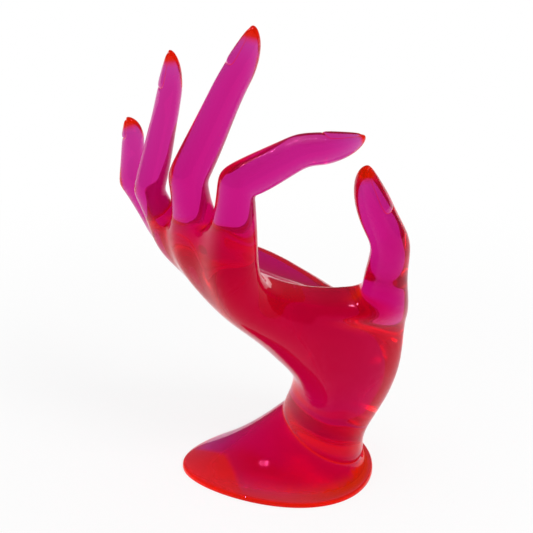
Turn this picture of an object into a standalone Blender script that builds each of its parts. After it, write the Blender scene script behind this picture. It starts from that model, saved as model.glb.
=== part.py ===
"""Hand-shaped jewellery stand: a left hand in an OK gesture, rising from an egg-shaped foot.

The real thing is one casting in clear tinted resin, so it is one solid. The hand is a control
cage of four-sided faces, which one Catmull-Clark division turns into the casting's round form.
+Z is up, +X is the way the palm faces, -Y is the side of the thumb and the index finger, and
the origin is the middle of the foot's underside.
"""

import math

import bmesh
import bpy
import numpy as np

MM = 0.001

# Foot, in millimetres: a flat egg shape, blunt under the wrist and turned a little about +Z, with
# a thin upright edge and a slope that rises to the cuff.
FOOT_HALF_X = 34.8
FOOT_HALF_Y = 31.2
FOOT_TAPER = 0.26
FOOT_TURN = -12.5
FOOT_EDGE_HEIGHT = 1.8
FOOT_EDGE_ROUND = 0.7
FOOT_SLOPE_SAG = 2.0
FOOT_SLOPE_ROWS = 3

# Rings from the foot to the palm: the point on the back of the hand and the point on the palm's
# side, both as (x, z), then the middle's y and half the width. Squareness under 1 fills out a
# ring's corners.
CUFF = {"back": (2.4, 18.4), "palm": (31.2, 6.8), "middle": 0.0, "half_width": 19.5, "squareness": 1.0}
WRIST = {"back": (8.0, 31.5), "palm": (30.6, 14.5), "middle": -0.5, "half_width": 18.0, "squareness": 1.0}
PALM_ROWS = (
    {"back": (4.0, 39.0), "palm": (36.0, 27.0), "middle": 0.0, "half_width": 20.0, "squareness": 0.9},
    {"back": (-3.0, 46.5), "palm": (37.0, 39.0), "middle": 0.5, "half_width": 22.0, "squareness": 0.8},
    {"back": (-11.0, 55.0), "palm": (27.5, 55.5), "middle": 1.0, "half_width": 24.0, "squareness": 0.7},
    {"back": (-20.0, 63.0), "palm": (7.0, 69.0), "middle": 1.0, "half_width": 26.0, "squareness": 0.65},
    {"back": (-28.5, 72.0), "palm": (-4.5, 77.0), "middle": 1.0, "half_width": 28.0, "squareness": 0.65},
)

# The palm's pads, row by row: how far the ball of the thumb and the pad below the little finger
# stand out, or how far the palm is hollowed there where it is negative, the column each is on, and
# how many columns it spreads.
THUMB_PAD = {"heights": (4.0, 11.0, 24.0, -3.0, -5.0), "column": 16.8, "spread": 3.0}
LITTLE_PAD = {"heights": (1.0, 3.0, 6.0, 9.5, 9.0), "column": 12.3, "spread": 1.9}

# How far the crest of the thumb's ball is lifted towards the fingers, row by row.
THUMB_CREST = {"heights": (0.0, 2.0, 7.0, 0.0, 0.0), "column": 16.6, "spread": 2.2}

# The cuff's groove, and how far the rings there are lowered on the thumb side, in degrees.
CUFF_DIP = 13.5
CUFF_GROOVE_DEPTH = 0.7
CUFF_GROOVE_WIDTH = 1.2
WRIST_DIP = 6.0

# Fingers, in millimetres: the middles of the knuckle and of the two joints beyond it, then the
# tip, with half the flesh's width and depth.
FINGERS = {
    "index": {
        "line": ((-21.5, -21.0, 86.0), (-19.0, -21.0, 119.0), (3.0, -20.0, 128.6), (26.1, -18.5, 131.5)),
        "half_width": 6.3,
        "half_depth": 7.0,
    },
    "middle": {
        "line": ((-29.5, -6.0, 87.0), (-32.3, -5.5, 117.0), (-18.4, -5.0, 146.6), (-9.6, -5.0, 169.0)),
        "half_width": 6.4,
        "half_depth": 6.7,
    },
    "ring": {
        "line": ((-34.5, 8.5, 86.0), (-42.9, 10.0, 108.0), (-36.2, 12.0, 136.0), (-34.6, 13.0, 157.2)),
        "half_width": 5.7,
        "half_depth": 5.3,
    },
    "little": {
        "line": ((-33.5, 22.0, 84.5), (-45.8, 24.5, 106.5), (-45.8, 26.0, 118.0), (-47.4, 28.0, 129.2)),
        "half_width": 5.0,
        "half_depth": 4.9,
    },
}
THUMB = {
    "line": ((20.0, -6.0, 42.0), (33.9, -13.6, 67.5), (34.8, -20.5, 92.3), (24.7, -21.5, 122.6)),
    "half_width": 6.6,
    "half_depth": 6.8,
}
THUMB_ROLL = 35.0
THUMB_ROOT_PASSES = 2
THUMB_ROOT_SMOOTHING = 0.5

# Over this share of a bone, next to a joint, the rings turn from the one bone's direction to the
# other's.
BEND_REACH = 0.3

# Rings along a finger: bone, share of that bone, then width, depth to the back and depth to the
# pad, each as a share of the finger's own half width or half depth.
KNUCKLE_RING = (0, 0.0, 1.20, 1.25, 1.45)
FINGER_RINGS = (
    (0, 0.42, 1.14, 1.14, 1.16),
    (0, 0.66, 1.05, 1.06, 0.98),
    (0, 0.88, 1.02, 1.06, 0.92),
    (1, 0.00, 1.03, 1.14, 0.93),
    (1, 0.14, 1.01, 1.12, 0.94),
    (1, 0.45, 0.97, 1.00, 0.92),
    (1, 0.80, 0.93, 0.90, 0.82),
    (2, 0.00, 0.93, 0.86, 0.80),
    (2, 0.20, 0.91, 0.74, 0.88),
    (2, 0.34, 0.88, 0.64, 0.94),
    (2, 0.55, 0.78, 0.47, 0.90),
    (2, 0.78, 0.56, 0.26, 0.70),
    (2, 0.94, 0.27, 0.09, 0.32),
)
THUMB_RINGS = (
    (0, 0.94, 1.95, 2.00, 0.85),
    (1, 0.14, 1.46, 1.40, 1.08),
    (1, 0.36, 1.12, 1.18, 1.12),
    (1, 0.65, 1.05, 1.06, 1.02),
    (2, 0.00, 1.04, 1.06, 0.98),
    (2, 0.20, 1.02, 0.84, 1.12),
    (2, 0.40, 0.98, 0.64, 1.22),
    (2, 0.62, 0.86, 0.45, 1.16),
    (2, 0.83, 0.62, 0.26, 0.86),
    (2, 0.95, 0.34, 0.10, 0.42),
)

# Nails: how many ring spaces they cover back from the last ring, the margin of each step round
# the plate, the depth of the groove and the rise of the plate out of it.
NAIL_SPACES = 3
NAIL_MARGIN = 0.45
NAIL_GROOVE = 0.35
NAIL_RISE = 0.65

# Tint of the resin.
RESIN_COLOUR = (0.80, 0.02, 0.16, 1.0)
RESIN_ROUGHNESS = 0.04

# Columns of the cage: two for each finger on the back and in the palm, and the two sides.
COLUMNS = 4 * len(FINGERS) + 4
FINGER_COLUMNS = 8


def unit(vector):
    return vector / np.linalg.norm(vector)


def swell(count):
    """How much wider a control ring of that many points is than the surface it makes."""
    return 6.0 / (4.0 + 2.0 * math.cos(2.0 * math.pi / count))


def rounded(value, squareness):
    """A sine or cosine pushed towards its extremes."""
    return math.copysign(abs(value) ** squareness, value)


def foot_ring(height, inset=0.0):
    """Points round the foot, at that height and that far inside its edge."""
    points = []
    cosine, sine = math.cos(math.radians(FOOT_TURN)), math.sin(math.radians(FOOT_TURN))
    for column in range(COLUMNS):
        angle = 2.0 * math.pi * column / COLUMNS
        x = -(FOOT_HALF_X - inset) * math.sin(angle)
        y = -(FOOT_HALF_Y - inset) * math.cos(angle) * (1.0 - FOOT_TAPER * math.sin(angle))
        x, y = swell(COLUMNS) * x, swell(COLUMNS) * y
        points.append(np.array([x * cosine - y * sine, x * sine + y * cosine, height]))
    return points


def bulge(swelling, number, column):
    """How far one of the palm's swellings reaches at that row and that column."""
    return swelling["heights"][number] * math.exp(-(((column - swelling["column"]) / swelling["spread"]) ** 2))


def hand_ring(row, dip=0.0, inset=0.0, rise=0.0, number=None):
    """Points round the wrist or the palm, from the thumb side over the back of the hand."""
    back = np.array([row["back"][0], row["middle"], row["back"][1]])
    palm = np.array([row["palm"][0], row["middle"], row["palm"][1]])
    palmward = unit(palm - back)
    outward = np.array([0.0, math.cos(math.radians(dip)), math.sin(math.radians(dip))])
    up = np.cross(palmward, outward)
    half_depth = np.linalg.norm(palm - back) / 2.0 - inset
    points = []
    for column in range(COLUMNS):
        angle = 2.0 * math.pi * column / COLUMNS
        depth = half_depth * swell(COLUMNS) * rounded(math.sin(angle), row["squareness"])
        width = (row["half_width"] - inset) * swell(COLUMNS) * math.cos(angle)
        lift = rise
        if number is not None:
            depth -= bulge(THUMB_PAD, number, column) + bulge(LITTLE_PAD, number, column)
            lift += bulge(THUMB_CREST, number, column)
        points.append((back + palm) / 2.0 - depth * palmward - width * outward + lift * up)
    return points


def station(finger, bone, share, roll=0.0, mirrored=False):
    """Middle, thumb-ward direction and back-ward direction of a ring on a finger's line."""
    line = [np.array(point) for point in finger["line"]]
    bones = [unit(end - start) for start, end in zip(line, line[1:])]
    centre = line[bone] + share * (line[bone + 1] - line[bone])
    last_bone = len(bones) - 1
    along = bones[bone]
    if bone > 0 and share < BEND_REACH:
        before = 0.5 * (1.0 - share / BEND_REACH)
        along = unit(before * bones[bone - 1] + (1.0 - before) * bones[bone])
    if bone < last_bone and share > 1.0 - BEND_REACH:
        after = 0.5 * (1.0 - (1.0 - share) / BEND_REACH)
        along = unit(after * bones[bone + 1] + (1.0 - after) * bones[bone])
    side = -1.0 if mirrored else 1.0
    back = side * np.array([-along[2], 0.0, along[0]])
    back = unit(back - along * (back @ along))
    thumbward = side * np.cross(along, back)
    turn = math.radians(roll) * min(1.0, (bone + share) / last_bone)
    turned_back = math.cos(turn) * back + math.sin(turn) * thumbward
    turned_thumbward = math.cos(turn) * thumbward - math.sin(turn) * back
    return centre, turned_thumbward, turned_back


def finger_ring(finger, ring, roll=0.0, mirrored=False):
    """Points round a finger, from its thumb side over its back to its pad."""
    bone, share, width, back_depth, pad_depth = ring
    centre, thumbward, back = station(finger, bone, share, roll, mirrored)
    points = []
    for column in range(FINGER_COLUMNS):
        angle = 2.0 * math.pi * column / FINGER_COLUMNS
        depth = back_depth if math.sin(angle) > 0.0 else pad_depth
        across = finger["half_width"] * width * math.cos(angle) * thumbward
        across = across + finger["half_depth"] * depth * math.sin(angle) * back
        points.append(centre + swell(FINGER_COLUMNS) * across)
    return points


def row_round_hand(rings):
    """Four finger rings side by side as one row round the hand, with neighbours' points shared."""
    row = [None] * COLUMNS
    row[0] = rings[0][0]
    row[COLUMNS // 2] = rings[-1][4]
    for number, ring in enumerate(rings):
        back, pad = 1 + 2 * number, COLUMNS - 1 - 2 * number
        row[back], row[back + 1], row[back + 2] = ring[1], ring[2], ring[3]
        row[pad], row[pad - 1], row[pad - 2] = ring[7], ring[6], ring[5]
    for number in range(1, len(rings)):
        back, pad = 1 + 2 * number, COLUMNS - 1 - 2 * number
        row[back] = (rings[number - 1][3] + rings[number][1]) / 2.0
        row[pad] = (rings[number - 1][5] + rings[number][7]) / 2.0
    return row


class Cage:
    """The control cage under construction."""

    def __init__(self):
        self.bm = bmesh.new()
        self.crease = self.bm.edges.layers.float.new("crease_edge")

    def ring(self, points):
        return [self.bm.verts.new([x * MM for x in point]) for point in points]

    def bridge(self, lower, upper):
        """Faces between two rings of as many points."""
        faces = []
        for here in range(len(lower)):
            after = (here + 1) % len(lower)
            faces.append(self.bm.faces.new((lower[here], lower[after], upper[after], upper[here])))
        return faces

    def cap(self, ring, tip):
        """Four faces that close a finger's last ring on its tip."""
        middle = self.bm.verts.new([x * MM for x in tip])
        for start in range(0, FINGER_COLUMNS, 2):
            after = [(start + step) % FINGER_COLUMNS for step in (1, 2)]
            self.bm.faces.new((ring[start], ring[after[0]], ring[after[1]], middle))

    def finger(self, root, finger, rings, roll=0.0, mirrored=False):
        """A finger on a root loop of the palm, closed at its tip, with its nail."""
        last, nail = root, []
        nail_from = len(rings) - 1 - NAIL_SPACES
        for number, ring in enumerate(rings):
            following = self.ring(finger_ring(finger, ring, roll, mirrored))
            faces = self.bridge(last, following)
            if number > nail_from:
                nail += faces[1:3]
            last = following
        self.cap(last, finger["line"][-1])
        return nail


def foot_rows():
    """Rows from the foot's underside over its edge and slope to the far side of the cuff's groove."""
    edge = [
        foot_ring(0.0),
        foot_ring(FOOT_EDGE_HEIGHT - FOOT_EDGE_ROUND),
        foot_ring(FOOT_EDGE_HEIGHT, FOOT_EDGE_ROUND),
    ]
    groove = [
        hand_ring(CUFF, CUFF_DIP, 0.0, -CUFF_GROOVE_WIDTH),
        hand_ring(CUFF, CUFF_DIP, CUFF_GROOVE_DEPTH),
        hand_ring(CUFF, CUFF_DIP, 0.0, CUFF_GROOVE_WIDTH),
    ]
    slope = []
    for number in range(1, FOOT_SLOPE_ROWS + 1):
        share = number / (FOOT_SLOPE_ROWS + 1)
        sag = np.array([0.0, 0.0, FOOT_SLOPE_SAG * 4.0 * share * (1.0 - share)])
        slope.append([low * (1 - share) + high * share - sag for low, high in zip(edge[-1], groove[0])])
    return [*edge, *slope, *groove]


def add_thumb(cage, low, middle, high):
    """The thumb, from a patch of two rows by two columns on the palm's thumb side."""
    patch = list(middle[-3].link_faces)
    bmesh.ops.delete(cage.bm, geom=patch, context="FACES")
    root = [middle[-2], low[-2], low[-3], low[-4], middle[-4], high[-4], high[-3], high[-2]]
    nail = cage.finger(root, THUMB, THUMB_RINGS, THUMB_ROLL, True)
    fillet = {edge.other_vert(vert) for vert in root for edge in vert.link_edges}
    fillet = [vert for vert in cage.bm.verts if vert in fillet or vert in root]
    for _ in range(THUMB_ROOT_PASSES):
        bmesh.ops.smooth_vert(
            cage.bm, verts=fillet, factor=THUMB_ROOT_SMOOTHING, use_axis_x=True, use_axis_y=True, use_axis_z=True
        )
    return nail


def add_fingers(cage, row, first_rings):
    """The fingers, each from its share of the last row round the hand and the webs beside it."""
    webs = [row[0]]
    for nearer, farther in zip(first_rings, first_rings[1:]):
        webs.extend(cage.ring([(nearer[4] + farther[0]) / 2.0]))
    webs.append(row[COLUMNS // 2])
    nails = []
    for number, finger in enumerate(FINGERS.values()):
        back, pad = 1 + 2 * number, COLUMNS - 1 - 2 * number
        root = [webs[number], *row[back : back + 3], webs[number + 1], *row[pad - 2 : pad + 1]]
        nails.append(cage.finger(root, finger, FINGER_RINGS[1:]))
    return nails


def raise_nails(cage, nails):
    """A groove round each nail, and the nail's plate raised inside it."""
    bmesh.ops.recalc_face_normals(cage.bm, faces=cage.bm.faces)
    for nail in nails:
        for depth in (-NAIL_GROOVE, NAIL_RISE):
            bmesh.ops.inset_region(
                cage.bm, faces=nail, thickness=NAIL_MARGIN * MM, depth=depth * MM, use_even_offset=True
            )


def build_cage():
    cage = Cage()
    foot = foot_rows()
    palm = [hand_ring(row, number=number) for number, row in enumerate(PALM_ROWS)]
    knuckles = [finger_ring(finger, KNUCKLE_RING) for finger in FINGERS.values()]
    first_rings = [finger_ring(finger, FINGER_RINGS[0]) for finger in FINGERS.values()]
    rows = [*foot, hand_ring(WRIST, WRIST_DIP), *palm, row_round_hand(knuckles), row_round_hand(first_rings)]

    rings = [cage.ring(row) for row in rows]
    underside = cage.bm.faces.new(rings[0])
    for edge in underside.edges:
        edge[cage.crease] = 1.0
    for lower, upper in zip(rings, rings[1:]):
        cage.bridge(lower, upper)
    heel = len(foot) + 1
    nails = [add_thumb(cage, *rings[heel + 2 : heel + 5])]
    nails += add_fingers(cage, rings[-1], first_rings)
    raise_nails(cage, nails)
    return cage.bm


def resin():
    material = bpy.data.materials.new("tinted_resin")
    material.use_nodes = True
    shader = material.node_tree.nodes["Principled BSDF"]
    shader.inputs["Base Color"].default_value = RESIN_COLOUR
    shader.inputs["Roughness"].default_value = RESIN_ROUGHNESS
    shader.inputs["Metallic"].default_value = 0.0
    return material


for leftover in list(bpy.data.objects):
    bpy.data.objects.remove(leftover)

mesh = bpy.data.meshes.new("hand_stand")
cage = build_cage()
cage.to_mesh(mesh)
cage.free()
mesh.shade_smooth()
mesh.materials.append(resin())
hand = bpy.data.objects.new("hand_stand", mesh)
bpy.context.scene.collection.objects.link(hand)
rounding = hand.modifiers.new("rounding", "SUBSURF")
rounding.levels = rounding.render_levels = 1
rounding.use_limit_surface = False
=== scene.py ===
"""Hand-shaped jewellery stand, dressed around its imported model.

Lengths are in metres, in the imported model's frame: +Z is up, +X is the way the palm faces, and -Y
is the side of the thumb.
"""

import math

import bmesh
import bpy
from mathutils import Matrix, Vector


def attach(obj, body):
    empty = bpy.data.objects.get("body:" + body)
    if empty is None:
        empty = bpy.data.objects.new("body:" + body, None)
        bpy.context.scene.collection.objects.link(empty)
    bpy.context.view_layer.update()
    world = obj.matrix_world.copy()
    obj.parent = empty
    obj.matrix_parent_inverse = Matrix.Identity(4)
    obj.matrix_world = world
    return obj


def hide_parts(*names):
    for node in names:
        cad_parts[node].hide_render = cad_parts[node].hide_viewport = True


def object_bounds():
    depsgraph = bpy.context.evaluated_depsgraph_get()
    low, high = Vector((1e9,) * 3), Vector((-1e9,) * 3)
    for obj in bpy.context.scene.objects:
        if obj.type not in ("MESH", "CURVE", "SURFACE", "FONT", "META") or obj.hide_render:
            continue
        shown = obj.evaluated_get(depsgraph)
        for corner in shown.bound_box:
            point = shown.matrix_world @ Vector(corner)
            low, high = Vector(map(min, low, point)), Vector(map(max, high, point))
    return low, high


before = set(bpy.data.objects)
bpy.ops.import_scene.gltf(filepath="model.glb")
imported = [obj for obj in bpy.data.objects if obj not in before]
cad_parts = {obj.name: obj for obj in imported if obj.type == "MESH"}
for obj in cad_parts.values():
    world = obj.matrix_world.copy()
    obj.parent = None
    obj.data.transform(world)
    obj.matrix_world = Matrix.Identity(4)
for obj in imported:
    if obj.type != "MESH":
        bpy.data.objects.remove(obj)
cad_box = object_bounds()


# The casting: the whole stand, hand, cuff and foot, poured as one piece in a clear resin with a
# fluorescent pink dye, and polished all over but for the flat underside, which is sanded. The
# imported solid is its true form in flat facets, which are refined here into the rounded skin.
CAST_LEVELS = 2
MERGE_DISTANCE = 1e-6
RIM_ANGLE = math.radians(50)
UNDERSIDE_BORDER = 0.0025
FACING_DOWN = -0.9

# A crease gets a painted glow, standing in for light let out of the resin there, as much as its
# edges turn inwards, from the first angle to the second. Each fingertip is its point and how far
# back from it the painted glow reaches, the first share of it in full.
CREASE_TURN = (math.radians(4), math.radians(11))
FINGERTIPS = (
    (Vector((0.0261, -0.0185, 0.1315)), 0.0050),
    (Vector((-0.0096, -0.0050, 0.1690)), 0.0080),
    (Vector((-0.0346, 0.0130, 0.1572)), 0.0075),
    (Vector((-0.0474, 0.0280, 0.1292)), 0.0065),
    (Vector((0.0247, -0.0215, 0.1226)), 0.0075),
)
FULL_AT_FINGERTIP = 0.6

# The painted glow above the cuff, a red band that stands in for light let out of the resin there,
# is a slice of the wrist, with its half width in full and in all.
BAND_MIDDLE = Vector((0.0124, -0.0116, 0.0161))
BAND_TILT = Vector((0.276, -0.218, 0.936)).normalized()
BAND_HALF_WIDTH = (0.0012, 0.0026)
PAINTED_BAND_GLOW = 0.6

# The foot gets a painted glow up from its rim, from full to none, and at its thin end, which these
# corners mark off, seen from above; it stands in for light let out of the resin there.
PAINTED_RIM_GLOW_HEIGHT = (0.0010, 0.0042)
TOE_CORNERS = (
    Vector((-0.0267, 0.0129)),
    Vector((-0.0191, 0.0012)),
    Vector((-0.0173, -0.0227)),
)
TOE_SOFTNESS = 0.0010
PAINTED_TOE_GLOW = 0.90
TOE_TOP = 0.0200


def smooth_share(value, start, end):
    """Nought up to the start, one from the end on, and a smooth rise between them."""
    share = min(1.0, max(0.0, (value - start) / (end - start)))
    return share * share * (3.0 - 2.0 * share)


def even_underside(bm):
    """Turns the flat underside into one face with an even border of narrow ones at the rim."""
    flat = [face for face in bm.faces if max(vert.co.z for vert in face.verts) < MERGE_DISTANCE]
    whole = bmesh.ops.dissolve_faces(bm, faces=flat, use_verts=False)["region"]
    bmesh.ops.inset_individual(bm, faces=whole, thickness=UNDERSIDE_BORDER)


def paint_crease_glow(bm):
    """Marks how much painted glow each point gets for the groove or crease that it lies in."""
    glow = bm.verts.layers.float.new("painted_glow")
    for vert in bm.verts:
        turns = [-edge.calc_face_angle_signed(0.0) for edge in vert.link_edges]
        vert[glow] = smooth_share(sum(turns) / len(turns), *CREASE_TURN)


def keep_rim_crisp(bm):
    """Keeps the edge between the foot's side and its underside from being rounded off."""
    crease = bm.edges.layers.float.new("crease_edge")
    for edge in bm.edges:
        on_floor = max(vert.co.z for vert in edge.verts) < MERGE_DISTANCE
        if on_floor and edge.calc_face_angle(0.0) > RIM_ANGLE:
            edge[crease] = 1.0


def painted_foot_glow(point):
    """How much painted glow a point gets for being low on the foot or at its toe."""
    share = 1.0 - smooth_share(point.z, *PAINTED_RIM_GLOW_HEIGHT)
    if point.z < TOE_TOP:
        past = max(
            (end - start).normalized().cross(point.xy - start)
            for start, end in zip(TOE_CORNERS, TOE_CORNERS[1:])
        )
        toe = 1.0 - smooth_share(past, -TOE_SOFTNESS, TOE_SOFTNESS)
        share = max(share, PAINTED_TOE_GLOW * toe)
    return share


def mark_painted_glow(mesh):
    """Adds painted glow at the fingertips, the band above the cuff and the foot's edge to the
    creases' painted glow.
    """
    glow = mesh.attributes["painted_glow"].data
    for vert in mesh.vertices:
        share = glow[vert.index].value
        for tip, reach in FINGERTIPS:
            off_tip = (vert.co - tip).length
            share = max(share, 1.0 - smooth_share(off_tip, FULL_AT_FINGERTIP * reach, reach))
        off_band = abs((vert.co - BAND_MIDDLE).dot(BAND_TILT))
        share = max(share, PAINTED_BAND_GLOW * (1.0 - smooth_share(off_band, *BAND_HALF_WIDTH)))
        if vert.co.z > MERGE_DISTANCE:
            share = max(share, painted_foot_glow(vert.co))
        glow[vert.index].value = share


def mark_sanded(mesh):
    """Marks the underside's faces."""
    sanded = mesh.attributes.new("sanded", "FLOAT", "FACE").data
    for face in mesh.polygons:
        underneath = face.normal.z < FACING_DOWN and face.center.z < MERGE_DISTANCE
        sanded[face.index].value = float(underneath)


def cast_skin(node):
    """A finer, rounded copy of that CAD node's surface, as an object of its own."""
    bm = bmesh.new()
    bm.from_mesh(node.data)
    bmesh.ops.remove_doubles(bm, verts=bm.verts, dist=MERGE_DISTANCE)
    bmesh.ops.join_triangles(
        bm, faces=bm.faces, angle_face_threshold=math.pi, angle_shape_threshold=math.pi
    )
    even_underside(bm)
    paint_crease_glow(bm)
    keep_rim_crisp(bm)
    mesh = bpy.data.meshes.new("casting_cage")
    bm.to_mesh(mesh)
    bm.free()
    # The facets' own normals go, because they would shade the rounded skin.
    if "custom_normal" in mesh.attributes:
        mesh.attributes.remove(mesh.attributes["custom_normal"])

    cage = bpy.data.objects.new("casting_cage", mesh)
    bpy.context.scene.collection.objects.link(cage)
    division = cage.modifiers.new("division", "SUBSURF")
    division.levels = CAST_LEVELS
    division.render_levels = CAST_LEVELS
    division.use_limit_surface = False
    bpy.context.view_layer.update()
    evaluated = cage.evaluated_get(bpy.context.evaluated_depsgraph_get())
    skin = bpy.data.objects.new("casting", bpy.data.meshes.new_from_object(evaluated))
    bpy.data.objects.remove(cage)
    bpy.context.scene.collection.objects.link(skin)

    mark_painted_glow(skin.data)
    mark_sanded(skin.data)
    skin.data.shade_smooth()
    skin.data.set_sharp_from_angle(angle=RIM_ANGLE)
    return skin


# The surface has a weak painted glow all over, which stands in for the dye's fluorescence, and a
# stronger orange-red painted glow where the points are marked, which stands in for light carried
# inside the resin and let out at its tips and edges. The tints colour what passes through the
# surface, and the glow tint reddens the marked places as part of that painted glow.
RESIN_BENDING = 1.49
RESIN_TINT = (0.48, 0.40, 0.50, 1.0)
RESIN_SHINE_TINT = (1.0, 0.02, 0.25, 1.0)
PAINTED_GLOW_TINT = (0.48, 0.015, 0.001, 1.0)
PAINTED_DYE_GLOW = (1.0, 0.01, 0.15, 1.0)
PAINTED_EDGE_GLOW = (1.0, 0.05, 0.001, 1.0)
PAINTED_GLOW_ALL_OVER = 0.066
PAINTED_GLOW_AT_EDGES = 0.20
DYE_PASSES = (0.985, 0.02, 0.77, 1.0)
DYE_STRENGTH = 300.0
POLISHED = 0.02
SANDED = 0.30
RIPPLE_SCALE = 45.0
RIPPLE_DETAIL = 1.0
RIPPLE_DEPTH = 0.00006


def dyed_resin_painted_glow():
    """Clear resin that takes nearly all the green, and more of the blue the thicker it is, with a
    painted glow on its surface.
    """
    material = bpy.data.materials.new("dyed_resin_painted_glow")
    material.use_nodes = True
    tree = material.node_tree
    surface = tree.nodes["Principled BSDF"]
    surface.inputs["IOR"].default_value = RESIN_BENDING
    surface.inputs["Transmission Weight"].default_value = 1.0
    surface.inputs["Specular Tint"].default_value = RESIN_SHINE_TINT

    edges = tree.nodes.new("ShaderNodeAttribute")
    edges.attribute_name = "painted_glow"
    # Painted glow: where marked, the base tint turns red and the emission colour orange-red.
    for name, plain, glowing in (
        ("Base Color", RESIN_TINT, PAINTED_GLOW_TINT),
        ("Emission Color", PAINTED_DYE_GLOW, PAINTED_EDGE_GLOW),
    ):
        mix = tree.nodes.new("ShaderNodeMix")
        mix.data_type = "RGBA"
        mix.inputs["A"].default_value = plain
        mix.inputs["B"].default_value = glowing
        tree.links.new(edges.outputs["Fac"], mix.inputs["Factor"])
        tree.links.new(mix.outputs["Result"], surface.inputs[name])

    underside = tree.nodes.new("ShaderNodeAttribute")
    underside.attribute_name = "sanded"
    # The emission strength is painted glow, weak all over and stronger where marked; the roughness
    # is the sanded underside.
    for name, mark, unmarked, marked in (
        ("Emission Strength", edges, PAINTED_GLOW_ALL_OVER, PAINTED_GLOW_AT_EDGES),
        ("Roughness", underside, POLISHED, SANDED),
    ):
        span = tree.nodes.new("ShaderNodeMapRange")
        span.inputs["To Min"].default_value = unmarked
        span.inputs["To Max"].default_value = marked
        tree.links.new(mark.outputs["Fac"], span.inputs["Value"])
        tree.links.new(span.outputs["Result"], surface.inputs[name])

    place = tree.nodes.new("ShaderNodeTexCoord")
    ripples = tree.nodes.new("ShaderNodeTexNoise")
    ripples.inputs["Scale"].default_value = RIPPLE_SCALE
    ripples.inputs["Detail"].default_value = RIPPLE_DETAIL
    relief = tree.nodes.new("ShaderNodeBump")
    relief.inputs["Distance"].default_value = RIPPLE_DEPTH
    tree.links.new(place.outputs["Object"], ripples.inputs["Vector"])
    tree.links.new(ripples.outputs["Fac"], relief.inputs["Height"])
    tree.links.new(relief.outputs["Normal"], surface.inputs["Normal"])

    dye = tree.nodes.new("ShaderNodeVolumeAbsorption")
    dye.inputs["Color"].default_value = DYE_PASSES
    dye.inputs["Density"].default_value = DYE_STRENGTH
    tree.links.new(dye.outputs["Volume"], tree.nodes["Material Output"].inputs["Volume"])
    return material


casting = cast_skin(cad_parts["hand_stand"])
casting.data.materials.append(dyed_resin_painted_glow())
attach(casting, "root")
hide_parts("hand_stand")


# The floor: a plain white surface that keeps a faint shadow of the stand, and fades into the
# background away from it. It is whiter to the camera than it is to the light on the stand.
FLOOR_SIZE = 6.0
FLOOR_GAP = 0.0002
FLOOR_PAINT = (0.90, 0.90, 0.90, 1.0)
FLOOR_ROUGHNESS = 0.9
FLOOR_WHITE_SEEN = 0.80
FLOOR_WHITE_LIT = 0.20
FLOOR_FADE_START = 0.12
FLOOR_FADE_END = 0.30


def floor_paint():
    """Matt white paint that turns into plain white light further out."""
    material = bpy.data.materials.new("floor_paint")
    material.use_nodes = True
    tree = material.node_tree
    paint = tree.nodes["Principled BSDF"]
    paint.inputs["Base Color"].default_value = FLOOR_PAINT
    paint.inputs["Roughness"].default_value = FLOOR_ROUGHNESS
    paint.inputs["Specular IOR Level"].default_value = 0.0
    white = tree.nodes.new("ShaderNodeEmission")
    white.inputs["Color"].default_value = (1.0, 1.0, 1.0, 1.0)
    place = tree.nodes.new("ShaderNodeTexCoord")
    distance = tree.nodes.new("ShaderNodeVectorMath")
    distance.operation = "LENGTH"
    fade = tree.nodes.new("ShaderNodeMapRange")
    fade.interpolation_type = "SMOOTHSTEP"
    fade.inputs["From Min"].default_value = FLOOR_FADE_START
    fade.inputs["From Max"].default_value = FLOOR_FADE_END
    path = tree.nodes.new("ShaderNodeLightPath")
    near = tree.nodes.new("ShaderNodeMapRange")
    near.inputs["To Min"].default_value = FLOOR_WHITE_LIT
    near.inputs["To Max"].default_value = FLOOR_WHITE_SEEN
    mix = tree.nodes.new("ShaderNodeMixShader")
    tree.links.new(place.outputs["Object"], distance.inputs[0])
    tree.links.new(path.outputs["Is Camera Ray"], near.inputs["Value"])
    tree.links.new(near.outputs["Result"], fade.inputs["To Min"])
    tree.links.new(distance.outputs["Value"], fade.inputs["Value"])
    tree.links.new(fade.outputs["Result"], mix.inputs["Fac"])
    tree.links.new(paint.outputs["BSDF"], mix.inputs[1])
    tree.links.new(white.outputs["Emission"], mix.inputs[2])
    tree.links.new(mix.outputs["Shader"], tree.nodes["Material Output"].inputs["Surface"])
    return material


floor_mesh = bpy.data.meshes.new("floor")
floor_shape = bmesh.new()
bmesh.ops.create_grid(floor_shape, x_segments=1, y_segments=1, size=FLOOR_SIZE / 2.0)
floor_shape.to_mesh(floor_mesh)
floor_shape.free()
floor = bpy.data.objects.new("floor", floor_mesh)
bpy.context.scene.collection.objects.link(floor)
floor.location.z = cad_box[0][2] - FLOOR_GAP
floor_mesh.materials.append(floor_paint())


# The room: white all round, where the camera and the clear resin see it, a softer light on the
# floor, and much darker where the polished skin mirrors it.
WORLD_LIGHT = 0.75
MIRRORED_SHARE = 0.08

world = bpy.data.worlds.new("white_room")
bpy.context.scene.world = world
world.use_nodes = True
room = world.node_tree
background = room.nodes["Background"]
background.inputs["Color"].default_value = (1.0, 1.0, 1.0, 1.0)
rays = room.nodes.new("ShaderNodeLightPath")

seen = room.nodes.new("ShaderNodeMath")
seen.operation = "MAXIMUM"
seen_in = room.nodes.new("ShaderNodeMath")
seen_in.operation = "MAXIMUM"
strength = room.nodes.new("ShaderNodeMapRange")
strength.inputs["To Min"].default_value = WORLD_LIGHT
room.links.new(rays.outputs["Is Camera Ray"], seen.inputs[0])
room.links.new(rays.outputs["Is Glossy Ray"], seen.inputs[1])
room.links.new(seen.outputs["Value"], seen_in.inputs[0])
room.links.new(rays.outputs["Is Transmission Ray"], seen_in.inputs[1])
room.links.new(seen_in.outputs["Value"], strength.inputs["Value"])

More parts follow.
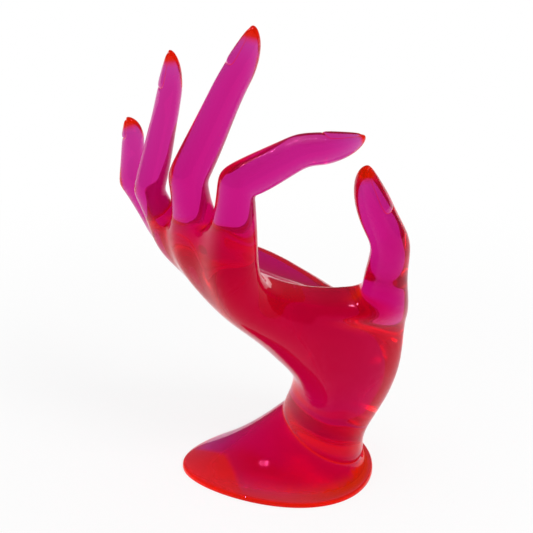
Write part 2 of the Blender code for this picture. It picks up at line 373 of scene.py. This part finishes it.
glancing = room.nodes.new("ShaderNodeMath")
glancing.operation = "MULTIPLY"
mirrored = room.nodes.new("ShaderNodeMapRange")
mirrored.inputs["To Min"].default_value = 1.0
mirrored.inputs["To Max"].default_value = MIRRORED_SHARE
shown = room.nodes.new("ShaderNodeMath")
shown.operation = "MULTIPLY"
room.links.new(rays.outputs["Is Reflection Ray"], glancing.inputs[0])
room.links.new(rays.outputs["Is Glossy Ray"], glancing.inputs[1])
room.links.new(glancing.outputs["Value"], mirrored.inputs["Value"])
room.links.new(strength.outputs["Result"], shown.inputs[0])
room.links.new(mirrored.outputs["Result"], shown.inputs[1])
room.links.new(shown.outputs["Value"], background.inputs["Strength"])


# The key lamp: one wide soft lamp in front, on the thumb's side, which makes the shadow.
KEY_PLACE = (0.35, -0.75, 0.95)
KEY_AIM = Vector((0.0, 0.0, 0.08))
KEY_SIZE = 0.5
KEY_POWER = 6.0

key = bpy.data.lights.new("key", "AREA")
key.shape = "DISK"
key.size = KEY_SIZE
key.energy = KEY_POWER
key_lamp = bpy.data.objects.new("key", key)
bpy.context.scene.collection.objects.link(key_lamp)
key_lamp.location = KEY_PLACE
key_lamp.rotation_euler = (KEY_AIM - key_lamp.location).to_track_quat("-Z", "Y").to_euler()
key_lamp.visible_glossy = False


# The rows of small lamps: two straight rows overhead, behind the hand, which only show as broken
# lines of light on the polish.
ROW_HEIGHT = 1.13
ROW_PLACES = (0.15, 0.27)
ROW_START = -0.50
ROW_SPACING = 0.014
ROW_COUNT = 70
ROW_LAMP_SIZE = (0.0060, 0.020)
ROW_LAMP_POWER = 0.09

small = bpy.data.lights.new("small", "AREA")
small.shape = "RECTANGLE"
small.size, small.size_y = ROW_LAMP_SIZE
small.energy = ROW_LAMP_POWER
for row_place in ROW_PLACES:
    for number in range(ROW_COUNT):
        small_lamp = bpy.data.objects.new("small", small)
        bpy.context.scene.collection.objects.link(small_lamp)
        small_lamp.location = (ROW_START + number * ROW_SPACING, row_place, ROW_HEIGHT)
        small_lamp.visible_camera = False
        small_lamp.visible_diffuse = False
        small_lamp.visible_transmission = False


# The camera: from the thumb's side, a little to the back of the hand, looking down on it.
CAMERA_TURN = math.radians(-14.0)
CAMERA_RISE = math.radians(23.0)
CAMERA_DISTANCE = 0.700
CAMERA_AIM = Vector((0.00293, 0.02851, 0.06683))
CAMERA_LENS = 128.60
CAMERA_SENSOR = 36.0

camera_data = bpy.data.cameras.new("camera")
camera_data.lens = CAMERA_LENS
camera_data.sensor_width = CAMERA_SENSOR
camera = bpy.data.objects.new("camera", camera_data)
bpy.context.scene.collection.objects.link(camera)
back = Vector((
    math.sin(CAMERA_TURN) * math.cos(CAMERA_RISE),
    -math.cos(CAMERA_TURN) * math.cos(CAMERA_RISE),
    math.sin(CAMERA_RISE),
))
camera.location = CAMERA_AIM + CAMERA_DISTANCE * back
camera.rotation_euler = back.to_track_quat("Z", "Y").to_euler()
bpy.context.scene.camera = camera


# The picture: plain colours, and enough bounces for light to find its way out of the resin.
ALL_BOUNCES = 32
RESIN_BOUNCES = 24

bpy.context.scene.view_settings.view_transform = "Standard"
bpy.context.scene.cycles.max_bounces = ALL_BOUNCES
bpy.context.scene.cycles.transmission_bounces = RESIN_BOUNCES
bpy.context.scene.cycles.glossy_bounces = RESIN_BOUNCES
